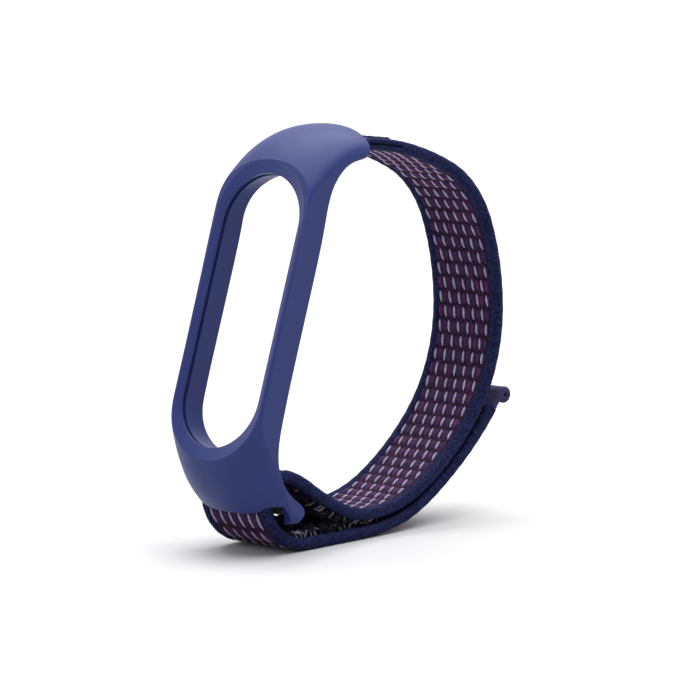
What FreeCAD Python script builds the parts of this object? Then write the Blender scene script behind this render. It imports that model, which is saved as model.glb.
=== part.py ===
import FreeCAD, Part
import math
import os
from FreeCAD import Vector

# Loop band for a wrist tracker: a moulded case frame with an empty tracker window, spring
# bars in its two lugs, and a woven hook-and-loop strap that is sewn round the upper bar,
# runs round the wrist and doubles back round the lower bar.
# Millimetres and degrees. X runs across the strap, Y from the case frame to the back of the
# loop, Z up, about the centre of the window's front face. Outlines are in (Y, Z). Those of
# the upper lug start from the upper crease, where the flat ring ends, and those of the
# lower lug from the lower crease.

# Case frame: ring
window_width = 17.2
window_length = 46.3
ring_end = 2.25
ring_wall = 1.45
ring_depth = 5.75
ring_tilt = 19.0
dish_width = 0.9
dish_length = 2.2
dish_depth = 0.34
lip_depth = 1.0
groove_width = 0.8
groove_reach = 0.45
top_flare = 1.5
wrist_edge_bevel = 0.5

# Case frame: crowned lugs. Crowns are (angle round the lug or place along the ring, drop
# of the surface from its middle line to its sides).
crown_power = 2.2
hull_offset = 2.3
hull_depth = 9.4
hull_margin = 0.04
upper_lug_radius = 19.15
lower_lug_radius = 16.1
upper_crowns = [(75.0, 5.2), (45.0, 4.7), (28.0, 3.9), (15.0, 2.9), (0.0, 2.5)]
ring_crowns = [(14.0, 2.6), (5.0, 3.0), (-6.0, 3.2), (-14.0, 3.2)]
lower_crowns = [(0.0, 3.4), (12.0, 4.2), (27.0, 6.0), (42.0, 6.9), (60.0, 6.6),
                (71.0, 5.8), (83.0, 3.4), (95.0, 2.4), (104.0, 2.2)]
rear_top = (14.43, 8.98)
wrist_side_upper = [(13.48, 1.28), (12.93, 0.18), (11.03, -0.32), (8.13, -1.12),
                    (5.83, -2.82), (4.13, -5.12), (3.03, -7.92), (2.18, -11.12),
                    (1.08, -14.82)]
wrist_side_middle = (6.3, 0.2)
wrist_side_lower = [(12.37, 17.82), (10.22, 11.52), (8.97, 7.52), (7.87, 3.52),
                    (7.57, 0.22), (8.47, -3.18), (10.32, -5.83), (12.17, -7.33),
                    (13.37, -8.28), (13.87, -9.18), (13.47, -10.08), (12.47, -10.73),
                    (11.27, -11.08), (9.87, -11.13)]
crease_flare = 1.6
crown_clearance = 7.0
foot_clearance = -13.48
front_wall = 0.55
lower_pocket = [(17.27, -1.28), (9.87, -1.68), (7.27, -4.38), (6.82, -5.58), (6.67, -6.98),
                (6.67, foot_clearance), (17.27, foot_clearance)]
pocket_front = -0.73
pocket_floor = -9.28
apron_edge = [(0.0, -9.18), (3.4, -9.1), (5.2, -8.91), (6.3, -8.58), (7.1, -8.18),
              (7.9, -7.8), (8.7, -7.65), (9.5, -7.63), (10.3, -7.62)]
notch_edge = [(3.27, -7.64), (6.27, -7.64), (7.77, -7.66), (8.5, -7.8), (9.1, -8.38),
              (9.72, -9.13), (10.17, -9.9), (10.68, -10.85), (11.0, -12.0)]
notch_front = -5.0
notch_undercut = 1.15

# Webbing
strap_width = 15.0
strap_thickness = 1.5
selvedge_thickness = 2.0
selvedge_width = 1.85
selvedge_round = 0.8
end_layer = 1.0
slot_clearance = 0.15

# Runs of the strap's middle line, each (length, turn); a turn to the left is positive. The
# strap starts at a place from the upper bar, its wrap at a place from the lower bar and its
# tail at a place from the start of the second closing run, under which it lies. The closing
# runs take up the length that this needs.
strap_start = (4.49, 0.77)
wrap_start = (6.452, 2.851)
main_closing_runs = (2, 5)
tail_start = (-6.005, -4.858)
floor_closing_runs = (0, 1)
strap_heading = -4.3
fold_run = [(7.6, -7.35)]
main_run = [(14.0, -13.55), (14.6, -42.6), (14.6, -20.7), (21.6, -44.8), (16.1, -19.6),
            (15.1, -32.6), (5.0, -18.2), (10.0, -10.5)]
wrap_run = [(5.3, 13.5), (2.87, 38.9), (4.86, 70.1), (3.03, 29.1), (3.6, 23.7), (7.03, 38.9)]
floor_run = [(14.0, 0.0), (9.1, 12.5)]
tail_runs = [(6.0, 13.0), (6.0, 7.2), (6.0, 3.8), (6.0, 6.0), (6.0, 5.7)]
tail_gap = 0.06

# Hook patch, thread and pull tab
patch_thickness = 0.5
patch_width = 10.4
patch_segments = (3, 4, 5)
thread_width = 0.35
thread_height = 0.25
tack_pitch = 0.9
tack_depth = 1.6
tack_margin = 1.0
tack_lift = 0.03
tab_reach = 3.25
tab_diameter = 3.2
tab_tongue = 1.2

# Spring bars
bar_diameter = 1.5
bar_bore = 1.0
bar_end_gap = 0.25
swage_length = 0.5
plunger_diameter = 0.76
plunger_head_diameter = 0.9
plunger_head_length = 2.4
plunger_reach = 1.1
plunger_clearance = 0.04
plunger_travel = 1.2
hole_spare_depth = 0.2
spring_diameter = 0.84
spring_wire = 0.14
spring_turns = 9
fold_clearance = 0.05
pocket_clearance = 0.15
bar_from_upper_crease = (12.031, 1.084)
bar_from_lower_crease = (11.669, -8.984)

crease_height = window_length / 2 + ring_end
case_half = window_width / 2 + ring_wall
hull_half = case_half + hull_margin
cheek_face = strap_width / 2 + slot_clearance
bar_half = cheek_face - bar_end_gap
tilt = math.radians(ring_tilt)


def ring_point(along, out, x=0.0):
    """A point given along the ring's length and outwards from its front face."""
    return Vector(x, along * math.sin(tilt) - out * math.cos(tilt),
                  along * math.cos(tilt) + out * math.sin(tilt))


def from_crease(side, points):
    """Move (Y, Z) points from a crease to the window's centre; side 1 is the upper."""
    crease = ring_point(side * crease_height, 0)
    return [(crease.y + y, crease.z + z) for y, z in points]


upper_bar = from_crease(1, [bar_from_upper_crease])[0]
lower_bar = from_crease(-1, [bar_from_lower_crease])[0]


def prism(points, x_from, x_to):
    """Extrude a closed (Y, Z) polygon across X."""
    corners = [Vector(x_from, y, z) for y, z in points]
    face = Part.Face(Part.makePolygon(corners + corners[:1]))
    return face.extrude(Vector(x_to - x_from, 0, 0))


def rod(centre, radius, x_from, x_to):
    """A round bar along X at a (Y, Z) centre."""
    return Part.makeCylinder(radius, x_to - x_from, Vector(x_from, *centre), Vector(1, 0, 0))


def stadium(width, length, out, shift=0.0):
    """A pill-shaped wire square to the ring's tilt, at a height above its front."""
    radius = width / 2
    high = shift + length / 2
    low = shift - length / 2
    corners = [ring_point(high - radius, out, -radius), ring_point(high, out),
               ring_point(high - radius, out, radius), ring_point(low + radius, out, radius),
               ring_point(low, out), ring_point(low + radius, out, -radius)]
    return Part.Wire([Part.Arc(*corners[:3]).toShape(),
                      Part.makeLine(corners[2], corners[3]),
                      Part.Arc(*corners[3:]).toShape(),
                      Part.makeLine(corners[5], corners[0])])


def pill(width, length, out_top, out_bottom):
    """A pill-shaped plug between two heights above the ring's front."""
    face = Part.Face(stadium(width, length, out_top))
    return face.extrude(ring_point(0, out_bottom - out_top))


def hull_section(middle, outward, crown):
    """One arched section of the case's crowned outer surface."""
    steps = 14
    arch = []
    for i in range(steps + 1):
        turn = math.pi * i / steps
        across = abs(math.cos(turn)) ** (2 / crown_power)
        drop = crown * (1 - math.sin(turn) ** (2 / crown_power))
        x = math.copysign(hull_half * across, -math.cos(turn))
        arch.append(middle - outward * drop + Vector(x, 0, 0))
    curve = Part.BSplineCurve()
    curve.interpolate(arch)
    base = [middle - outward * hull_depth + Vector(x, 0, 0) for x in (hull_half, -hull_half)]
    return Part.Wire([curve.toShape(), Part.makeLine(arch[-1], base[0]),
                      Part.makeLine(*base), Part.makeLine(base[1], arch[0])])


def lug_section(radius, side, angle, crown):
    """A hull section round a lug; side is 1 for the upper lug and -1 for the lower."""
    blend = math.acos(1 - hull_offset / radius)
    along = side * (crease_height - radius * math.sin(blend))
    turn = math.radians(angle)
    outward = ring_point(side * math.sin(turn), math.cos(turn))
    return hull_section(ring_point(along, hull_offset - radius) + outward * radius,
                        outward, crown)


def spread(rows, count):
    """Even places between the first and last row, each with the crown found there."""
    spaced = []
    for i in range(count):
        place = rows[0][0] + (rows[-1][0] - rows[0][0]) * i / (count - 1)
        for (start, low), (end, high) in zip(rows, rows[1:]):
            if min(start, end) <= place <= max(start, end):
                spaced.append((place, low + (high - low) * (place - start) / (end - start)))
                break
    return spaced


def make_hull():
    """The case's crowned outer surface, from the upper lug's rear edge to the ears."""
    sections = [lug_section(upper_lug_radius, 1, *row) for row in spread(upper_crowns, 9)]
    sections += [hull_section(ring_point(along, hull_offset), ring_point(0, 1), crown)
                 for along, crown in spread(ring_crowns, 9)]
    sections += [lug_section(lower_lug_radius, -1, *row) for row in spread(lower_crowns, 13)]
    return Part.makeLoft(sections, True, False)


def side_wire(x, inset):
    """The case's side outline at one X, its wrist side moved in by an inset."""
    rim = []
    wrist_side = from_crease(1, wrist_side_upper) + [wrist_side_middle]
    wrist_side += from_crease(-1, wrist_side_lower)
    for i, (y, z) in enumerate(wrist_side):
        before = wrist_side[max(i - 1, 0)]
        after = wrist_side[min(i + 1, len(wrist_side) - 1)]
        step = math.hypot(after[0] - before[0], after[1] - before[1])
        rim.append(Vector(x, y + inset * (after[1] - before[1]) / step,
                          z - inset * (after[0] - before[0]) / step))
    curve = Part.BSplineCurve()
    curve.interpolate(rim)
    rear = from_crease(1, [rear_top])[0]
    foot = from_crease(-1, [(pocket_front, foot_clearance)])[0]
    flared = crease_height + crease_flare
    corners = [rim[-1], Vector(x, *foot), ring_point(-flared, crown_clearance, x),
               ring_point(-crease_height, 0, x), ring_point(crease_height, 0, x),
               ring_point(flared, crown_clearance, x), Vector(x, *rear), rim[0]]
    return Part.Wire([curve.toShape()] +
                     [Part.makeLine(a, b) for a, b in zip(corners, corners[1:])])


def make_side_body():
    """The case's side outline across its width, with bevelled edges on the wrist side."""
    inner = case_half - wrist_edge_bevel
    rows = [(-case_half, wrist_edge_bevel), (-inner, 0.0), (inner, 0.0),
            (case_half, wrist_edge_bevel)]
    return Part.makeLoft([side_wire(x, inset) for x, inset in rows], True, True)


def window_cutters():
    """Dished lip, window, retention groove and the flared rear opening."""
    dish = Part.makeLoft([stadium(window_width + 2 * dish_width,
                                  window_length + 2 * dish_length, 0.0),
                          stadium(window_width, window_length, -dish_depth)], True, False)
    groove_bottom = -lip_depth - groove_width
    flare = Part.makeLoft([stadium(window_width, window_length, groove_bottom),
                           stadium(window_width, window_length + 1.5 * top_flare,
                                   -1.5 * ring_depth, 0.75 * top_flare)], True, False)
    return [dish, flare, pill(window_width, window_length, 3.0, -1.5 * ring_depth),
            pill(window_width + 2 * groove_reach, window_length + 2 * groove_reach,
                 -lip_depth, groove_bottom)]


def upper_pocket():
    """Room in the upper lug for the sewn end of the strap round its bar."""
    radius = bar_diameter / 2 + fold_clearance + end_layer + pocket_clearance
    y, z = upper_bar
    below = [(y - radius, z), (y - radius, z - 8), (y + 6, z - 8), (y + 6, z + radius),
             (y, z + radius), (y, z)]
    return rod(upper_bar, radius, -cheek_face, cheek_face).fuse(
        prism(below, -cheek_face, cheek_face))


def apron_region():
    """What lies under the lower lug's front edge, seen from the front."""
    half = [Vector(x, 0, z) for x, z in apron_edge]
    whole = [Vector(-v.x, 0, v.z) for v in reversed(half[1:])] + half
    curve = Part.BSplineCurve()
    curve.interpolate(whole)
    low = Vector(0, 0, foot_clearance)
    corners = [whole[-1], Vector(whole[-1].x, 0, low.z), Vector(whole[0].x, 0, low.z), whole[0]]
    edges = [curve.toShape()] + [Part.makeLine(a, b) for a, b in zip(corners, corners[1:])]
    region = Part.Face(Part.Wire(edges)).extrude(Vector(0, notch_edge[-1][0] - notch_front, 0))
    region.translate(Vector(0, *from_crease(-1, [(notch_front, 0.0)])[0]))
    return region


def notch_wire(x, shift):
    """Side outline, at one X, of the notch between the front edge and the ears."""
    rim = [Vector(x, y + shift, z) for y, z in from_crease(-1, notch_edge)]
    curve = Part.BSplineCurve()
    curve.interpolate(rim)
    front, foot = from_crease(-1, [(notch_front, 0.0), (notch_front, foot_clearance)])
    corners = [rim[-1], Vector(x, rim[-1].y, foot[1]), Vector(x, *foot),
               Vector(x, front[0], rim[0].z), rim[0]]
    return Part.Wire([curve.toShape()] +
                     [Part.makeLine(a, b) for a, b in zip(corners, corners[1:])])


def make_notch():
    """Notch that frees the strap at the lower lug's front corners, undercut inwards."""
    side = apron_edge[-1][0]
    rows = [(-side, 0.0), (-cheek_face, notch_undercut), (cheek_face, notch_undercut),
            (side, 0.0)]
    sweep = Part.makeLoft([notch_wire(x, shift) for x, shift in rows], True, True)
    return sweep.common(apron_region())


def lower_cutters():
    """Room in the lower lug for the doubled strap, and the notch under its front wall."""
    blend = math.acos(1 - hull_offset / lower_lug_radius)
    centre = ring_point(lower_lug_radius * math.sin(blend) - crease_height,
                        hull_offset - lower_lug_radius)
    inside = rod((centre.y, centre.z), lower_lug_radius - front_wall, -cheek_face, cheek_face)
    pocket = prism(from_crease(-1, lower_pocket), -cheek_face, cheek_face).common(inside)
    back = lower_pocket[0][0]
    below = prism(from_crease(-1, [(pocket_front, pocket_floor), (back, pocket_floor),
                                   (back, foot_clearance), (pocket_front, foot_clearance)]),
                  -cheek_face, cheek_face)
    return [pocket, below, make_notch()]


def bar_holes():
    """Blind holes for the plungers in the inner faces of the cheeks."""
    radius = plunger_diameter / 2 + plunger_clearance
    reach = cheek_face + plunger_reach + hole_spare_depth
    return [rod(bar, radius, -reach, reach) for bar in (upper_bar, lower_bar)]


def make_case_frame():
    body = make_side_body().common(make_hull())
    return body.cut(window_cutters() + [upper_pocket()] + lower_cutters() + bar_holes())


def make_bar_tube(centre):
    """Tube of a spring bar, bored through with its ends swaged in."""
    neck = plunger_diameter / 2 + plunger_clearance
    inner = bar_half - swage_length
    tube = rod(centre, bar_diameter / 2, -bar_half, bar_half)
    return tube.cut([rod(centre, bar_bore / 2, -inner, inner),
                     rod(centre, neck, -bar_half, bar_half)])


def make_plunger(centre, side):
    """Headed plunger of a spring bar; side is 1 for the near end and -1 for the far."""
    head_end = bar_half - swage_length
    tip = cheek_face + plunger_reach
    head = rod(centre, plunger_head_diameter / 2, head_end - plunger_head_length, head_end)
    pin = head.fuse(rod(centre, plunger_diameter / 2, head_end, tip)).removeSplitter()
    nose = [edge for edge in pin.Edges if edge.BoundBox.XMin > tip - 0.01]
    pin = pin.makeChamfer(plunger_diameter / 4, nose)
    return pin if side > 0 else pin.mirror(Vector(0, 0, 0), Vector(1, 0, 0))


def make_spring(centre):
    """Coil between the plungers, drawn at its length with both pressed in."""
    half = bar_half - swage_length - plunger_head_length - plunger_travel
    radius = (spring_diameter - spring_wire) / 2
    coil_length = 2 * half - spring_wire - 0.1
    helix = Part.makeHelix(coil_length / spring_turns, coil_length, radius)
    wire = Part.Wire(Part.makeCircle(spring_wire / 2, Vector(radius, 0, 0), Vector(0, 1, 0)))
    coil = Part.Wire(helix).makePipeShell([wire], True, True)
    coil.translate(Vector(0, 0, -coil_length / 2))
    coil.rotate(Vector(0, 0, 0), Vector(0, 1, 0), 90)
    coil.translate(Vector(0, *centre))
    return coil


class Track:
    """One run of the strap's middle line: a tangent arc or a straight."""

    def __init__(self, start, heading, length, turn):
        self.start = start
        self.heading = heading
        self.length = length
        self.turn = turn

    def at(self, share, offset=0.0):
        """Point at a share of the run, offset to the left; with the heading there."""
        angle = math.radians(self.heading)
        bend = math.radians(self.turn) * share
        gone = self.length * share
        y, z = self.start
        if self.turn:
            radius = self.length / math.radians(self.turn)
            y += radius * (math.sin(angle + bend) - math.sin(angle))
            z += radius * (math.cos(angle) - math.cos(angle + bend))
        else:
            y += gone * math.cos(angle)
            z += gone * math.sin(angle)
        angle += bend
        return y - offset * math.sin(angle), z + offset * math.cos(angle)

    def trimmed(self, share_from, share_to):
        """The part of the run between two shares."""
        part = share_to - share_from
        return Track(self.at(share_from), self.heading + self.turn * share_from,
                     self.length * part, self.turn * part)


def lay(start, heading, runs):
    """Chain tangent runs from a start point; returns tracks, end point and heading."""
    tracks = []
    for length, turn in runs:
        tracks.append(Track(start, heading, length, turn))
        start = tracks[-1].at(1.0)
        heading += turn
    return tracks, start, heading


def closed(start, heading, runs, changed, target):
    """Change the lengths of two runs so that the chain ends at a target."""
    _, end, _ = lay(start, heading, runs)
    reaches = []
    for index in changed:
        length, turn = runs[index]
        before = heading + sum(run[1] for run in runs[:index])
        y, z = Track((0.0, 0.0), before, length, turn).at(1.0)
        reaches.append((y / length, z / length))
    miss = (target[0] - end[0], target[1] - end[1])
    (ya, za), (yb, zb) = reaches
    area = ya * zb - za * yb
    gains = ((miss[0] * zb - miss[1] * yb) / area, (ya * miss[1] - za * miss[0]) / area)
    fitted = list(runs)
    for index, gain in zip(changed, gains):
        fitted[index] = (runs[index][0] + gain, runs[index][1])
    return fitted


def side_edges(tracks, offset, x):
    """Edges along one side of a ribbon."""
    edges = []
    for track in tracks:
        points = [Vector(x, *track.at(share, offset)) for share in (0.0, 0.5, 1.0)]
        edges.append(Part.Arc(*points).toShape() if track.turn
                     else Part.makeLine(points[0], points[2]))
    return edges


def slab(tracks, low, high, x_from, x_to):
    """Ribbon between two offsets of a chain of tracks, from one X to another."""
    ends = [Part.makeLine(Vector(x_from, *track.at(share, low)),
                          Vector(x_from, *track.at(share, high)))
            for track, share in ((tracks[0], 0.0), (tracks[-1], 1.0))]
    edges = side_edges(tracks, low, x_from) + side_edges(tracks, high, x_from) + ends
    face = Part.Face(Part.Wire(Part.__sortEdges__(edges)))
    return face.extrude(Vector(x_to - x_from, 0, 0))


def webbing(tracks):
    """Woven strap along a chain of tracks, thicker along its two selvedges."""
    half = strap_width / 2
    inner = half - selvedge_width
    rim = selvedge_thickness / 2
    middle = slab(tracks, -strap_thickness / 2, strap_thickness / 2, -inner, inner)
    rims = []
    for x_inner, x_outer in ((inner, half), (-inner, -half)):
        edge = slab(tracks, -rim, rim, x_inner, x_outer)
        outer = [item for item in edge.Edges if item.BoundBox.XLength < 0.001
                 and abs(item.BoundBox.XMin - x_outer) < 0.001
                 and item.Length > selvedge_thickness + 0.001]
        rims.append(edge.makeFillet(selvedge_round, outer))
    return middle.fuse(rims).removeSplitter()


def make_end_fold(tracks):
    """Sewn end of the strap: two thin layers closed round the upper bar."""
    half = strap_width / 2
    inner = bar_diameter / 2 + fold_clearance
    outer = inner + end_layer
    layers = slab(tracks, -end_layer, end_layer, -half, half)
    bar = Vector(-half, *upper_bar)
    mouth = [tracks[0].at(0.0, offset) for offset in (-end_layer, end_layer)]
    cheeks = []
    for side, point in zip((-1, 1), mouth):
        away = Vector(0, *point) - Vector(0, *upper_bar)
        reach = math.acos(outer / away.Length)
        bearing = math.atan2(away.z, away.y) + side * reach
        cheeks.append((upper_bar[0] + outer * math.cos(bearing),
                       upper_bar[1] + outer * math.sin(bearing)))
    neck = prism([mouth[0], mouth[1], cheeks[1], upper_bar, cheeks[0]], -half, half)
    ring = rod((bar.y, bar.z), outer, -half, half)
    return ring.fuse([neck, layers]).removeSplitter().cut(rod(upper_bar, inner, -half, half))


def make_tack(track, share, offset, side, width):
    """Zigzag row of thread across the strap, lying on one face of a track."""
    y, z = track.at(share, offset + side * tack_lift)
    count = int(width / tack_pitch)
    lift = side * thread_height
    rows = []
    for edge in (thread_width / 2, -thread_width / 2):
        row = [Vector(-width / 2 + i * width / count,
                      (tack_depth / 2 if i % 2 else -tack_depth / 2) + edge * 2, 0)
               for i in range(count + 1)]
        rows.append(row)
    outline = rows[0] + rows[1][::-1]
    tack = Part.Face(Part.makePolygon(outline + outline[:1])).extrude(Vector(0, 0, lift))
    tack.rotate(Vector(0, 0, 0), Vector(1, 0, 0), track.heading + track.turn * share)
    tack.translate(Vector(0, y, z))
    return tack


def make_pull_tab(end, heading):
    """Rolled bead across the strap on a short tongue beyond the tail."""
    tongue, centre, _ = lay(end, heading, [(tab_reach, 0.0)])
    half = strap_width / 2
    flat = slab(tongue, -tab_tongue / 2, tab_tongue / 2, -half, half)
    return rod(centre, tab_diameter / 2, -half, half).fuse(flat).removeSplitter()


def make_straps():
    """Every piece of the strap, keyed by node name."""
    start = (upper_bar[0] + strap_start[0], upper_bar[1] + strap_start[1])
    meeting = (lower_bar[0] + wrap_start[0], lower_bar[1] + wrap_start[1])
    fold, start, heading = lay(start, strap_heading, fold_run)
    main, start, heading = lay(start, heading, closed(start, heading, main_run,
                                                      main_closing_runs, meeting))
    wrap, start, heading = lay(start, heading, wrap_run)
    under = main[main_closing_runs[1]].start
    meeting = (under[0] + tail_start[0], under[1] + tail_start[1])
    floor, start, heading = lay(start, heading, closed(start, heading, floor_run,
                                                       floor_closing_runs, meeting))
    tail, end, heading = lay(start, heading, tail_runs)
    tail_width = strap_width - 2 * selvedge_width - 2 * tack_margin
    pieces = {
        "strap_end_fold": make_end_fold(fold),
        "strap_end_stitching": make_tack(fold[0], 0.7, end_layer, 1, strap_width - 2.0),
        "strap_main_run": webbing(main),
        "strap_wrap": webbing(wrap),
        "strap_tail_base": webbing(floor),
    }
    for number, track in enumerate(tail, 1):
        piece = track.trimmed(tail_gap / track.length, 1.0)
        pieces[f"strap_tail_{number}"] = webbing([piece])
        if number in patch_segments:
            face = strap_thickness / 2
            pieces[f"hook_patch_{number}"] = slab([piece], face, face + patch_thickness,
                                                  -patch_width / 2, patch_width / 2)
    face = strap_thickness / 2 + patch_thickness
    pieces["patch_stitching_inner"] = make_tack(tail[patch_segments[0] - 1], 0.3, face, 1,
                                                tail_width)
    pieces["patch_stitching_outer"] = make_tack(tail[-1], 0.7, face, 1, tail_width)
    pieces["pull_tab"] = make_pull_tab(end, heading)
    pieces["tab_stitching"] = make_tack(tail[-1], 0.75, -strap_thickness / 2, -1, tail_width)
    return pieces


def make_bar(name, centre):
    """The four pieces of one spring bar, keyed by node name."""
    return {f"{name}_tube": make_bar_tube(centre),
            f"{name}_spring": make_spring(centre),
            f"{name}_plunger_near": make_plunger(centre, 1),
            f"{name}_plunger_far": make_plunger(centre, -1)}


def main():
    os.makedirs("parts", exist_ok=True)
    pieces = {"case_frame": make_case_frame()}
    pieces.update(make_bar("upper_bar", upper_bar))
    pieces.update(make_bar("lower_bar", lower_bar))
    pieces.update(make_straps())
    box = FreeCAD.BoundBox()
    for shape in pieces.values():
        box.add(shape.optimalBoundingBox(False))
    to_origin = Vector(-(box.XMin + box.XMax) / 2, -(box.YMin + box.YMax) / 2, -box.ZMin)
    for name, shape in pieces.items():
        shape.translate(to_origin)
        shape.exportStep(f"parts/{name}.step")
        print(name, len(shape.Solids), shape.isValid(), round(shape.Volume, 3))
    print("origin moved by", to_origin, "overall", box)


main()
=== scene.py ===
"""Looks of a loop band for a wrist tracker, dressed over its CAD frame.

The moulded case frame and the spring bars keep their CAD shapes. The woven strap, its sewn
end, its hook patch and its rolled pull tab are modelled here with real yarn floats, rolled
selvedges and pile loops. Everything is in metres in the frame's own coordinates.
"""

import logging
import math
import random
from collections.abc import Callable
from dataclasses import dataclass, field
from enum import IntEnum

import bmesh
import bpy
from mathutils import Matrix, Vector


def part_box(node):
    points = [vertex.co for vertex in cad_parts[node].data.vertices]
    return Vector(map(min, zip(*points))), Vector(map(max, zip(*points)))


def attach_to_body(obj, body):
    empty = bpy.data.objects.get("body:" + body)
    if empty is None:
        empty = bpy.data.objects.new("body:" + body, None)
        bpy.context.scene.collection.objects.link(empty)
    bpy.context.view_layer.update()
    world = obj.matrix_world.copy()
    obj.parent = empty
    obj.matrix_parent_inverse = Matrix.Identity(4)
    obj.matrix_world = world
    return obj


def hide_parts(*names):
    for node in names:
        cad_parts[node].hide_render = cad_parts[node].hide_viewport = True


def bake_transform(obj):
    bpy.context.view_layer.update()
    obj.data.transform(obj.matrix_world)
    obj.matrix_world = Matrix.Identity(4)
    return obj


LOG = logging.getLogger("band")
MM = 0.001
TURN = 2 * math.pi
Colour = tuple[float, float, float]


def linear(red: int, green: int, blue: int) -> Colour:
    """Convert a display colour to linear light.

    Args:
        red: Red, 0 to 255.
        green: Green, 0 to 255.
        blue: Blue, 0 to 255.

    Returns:
        The same colour in linear values.
    """
    def channel(value: int) -> float:
        """Undo the display's curve for one channel."""
        share = value / 255
        return share / 12.92 if share < 0.04045 else ((share + 0.055) / 1.055) ** 2.4
    return channel(red), channel(green), channel(blue)


class Nodes:
    """Small helper that adds shader nodes and links to one node tree."""

    def __init__(self, tree: bpy.types.NodeTree) -> None:
        """Keep the tree that the nodes go into."""
        self.tree = tree

    def plug(self, socket: bpy.types.NodeSocket, value: object) -> None:
        """Link an input to another socket, or set its value."""
        if isinstance(value, bpy.types.NodeSocket):
            self.tree.links.new(value, socket)
        else:
            socket.default_value = value

    def feed(self, node: bpy.types.Node, **sockets: object) -> None:
        """Set a node's properties and named inputs.

        Args:
            node: The node.
            **sockets: Values or output sockets, by input name with _ for a space; names
                that are node properties are set on the node.
        """
        for key, value in sockets.items():
            if hasattr(node, key):
                setattr(node, key, value)
            else:
                self.plug(node.inputs[key.replace("_", " ")], value)

    def add(self, kind: str, **sockets: object) -> bpy.types.Node:
        """Add a node and set its inputs.

        Args:
            kind: Blender's node type name.
            **sockets: What feed takes.

        Returns:
            The new node.
        """
        node = self.tree.nodes.new(kind)
        self.feed(node, **sockets)
        return node

    def maths(self, operation: str, *values: object) -> bpy.types.NodeSocket:
        """Add a maths node.

        Args:
            operation: Blender's name of the operation.
            *values: Numbers or sockets for its inputs in order.

        Returns:
            The node's output socket.
        """
        node = self.tree.nodes.new("ShaderNodeMath")
        node.operation = operation
        for socket, value in zip(node.inputs, values):
            self.plug(socket, value)
        return node.outputs[0]

    def mix(self, factor: bpy.types.NodeSocket, first: object,
            second: object) -> bpy.types.NodeSocket:
        """Return a mix of two colours, each given with its alpha or as a socket."""
        return self.add("ShaderNodeMix", data_type="RGBA", Factor=factor, A=first,
                        B=second).outputs["Result"]


class Skin(Nodes):
    """A new material, with a helper for its nodes and its surface shader."""

    def __init__(self, name: str) -> None:
        """Make the material.

        Args:
            name: Its name.
        """
        self.material = bpy.data.materials.new(name)
        self.material.use_nodes = True
        super().__init__(self.material.node_tree)
        self.shader = self.tree.nodes["Principled BSDF"]

    def finish(self, **sockets: object) -> bpy.types.Material:
        """Set the surface shader's inputs and return the material."""
        self.feed(self.shader, **sockets)
        return self.material


def yarn_group() -> bpy.types.NodeTree:
    """Build the shared effect of fine twisted yarn.

    Returns:
        A node group that turns a base colour into speckled yarn and a height for bump.
    """
    group = bpy.data.node_groups.new("fine_yarn", "ShaderNodeTree")
    for name, side, kind in (("Colour", "INPUT", "Color"), ("Scale", "INPUT", "Float"),
                             ("Speckle", "INPUT", "Float"), ("Colour", "OUTPUT", "Color"),
                             ("Height", "OUTPUT", "Float")):
        group.interface.new_socket(name, in_out=side, socket_type=f"NodeSocket{kind}")
    nodes = Nodes(group)
    inside = group.nodes.new("NodeGroupInput")
    outside = group.nodes.new("NodeGroupOutput")
    coords = nodes.add("ShaderNodeTexCoord").outputs["Object"]
    cells = nodes.add("ShaderNodeTexVoronoi", Vector=coords, Scale=inside.outputs["Scale"])
    grain = nodes.add("ShaderNodeTexNoise", Vector=coords, Scale=inside.outputs["Scale"],
                      Detail=3.0, Roughness=0.6)
    # The grain's 0 to 1 becomes -1 to 1, so that speckle brightens as much as it darkens.
    light = nodes.maths("MULTIPLY_ADD", grain.outputs["Fac"], 2.0, -1.0)
    level = nodes.maths("MULTIPLY_ADD", light, inside.outputs["Speckle"], 1.0)
    tint = nodes.add("ShaderNodeHueSaturation", Color=inside.outputs["Colour"], Value=level)
    height = nodes.maths("SUBTRACT", grain.outputs["Fac"], cells.outputs["Distance"])
    nodes.feed(outside, Colour=tint.outputs["Color"], Height=height)
    return group


@dataclass(frozen=True)
class Moulding:
    """Soft-touch moulded plastic.

    Attributes:
        name: Material name.
        colour: Base colour in linear values.
        roughness: Roughness of the skin.
        specular: Strength of its highlights.
        grain: Bump strength of the fine mould texture.
        grain_depth: Height of that texture, in metres.
        grain_scale: Scale of that texture, in repeats per metre.
        tone_scale: Scale of the broad unevenness of tone.
        tone_spread: Range of the tone.
        tone_low: Tone of the darkest places.
    """

    name: str
    colour: Colour
    roughness: float = 0.42
    specular: float = 0.2
    grain: float = 0.06
    grain_depth: float = 0.02 * MM
    grain_scale: float = 5200.0
    tone_scale: float = 160.0
    tone_spread: float = 0.12
    tone_low: float = 0.94

    def build(self) -> bpy.types.Material:
        """Return the finished material."""
        skin = Skin(self.name)
        coords = skin.add("ShaderNodeTexCoord").outputs["Object"]
        broad = skin.add("ShaderNodeTexNoise", Vector=coords, Scale=self.tone_scale,
                         Detail=2.0)
        fine = skin.add("ShaderNodeTexNoise", Vector=coords, Scale=self.grain_scale,
                        Detail=1.0)
        tone = skin.maths("MULTIPLY_ADD", broad.outputs["Fac"], self.tone_spread,
                          self.tone_low)
        tint = skin.add("ShaderNodeHueSaturation", Color=(*self.colour, 1.0), Value=tone)
        bump = skin.add("ShaderNodeBump", Strength=self.grain, Distance=self.grain_depth,
                        Height=fine.outputs["Fac"])
        return skin.finish(Base_Color=tint.outputs["Color"], Normal=bump.outputs["Normal"],
                           Roughness=self.roughness, Specular_IOR_Level=self.specular)


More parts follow.
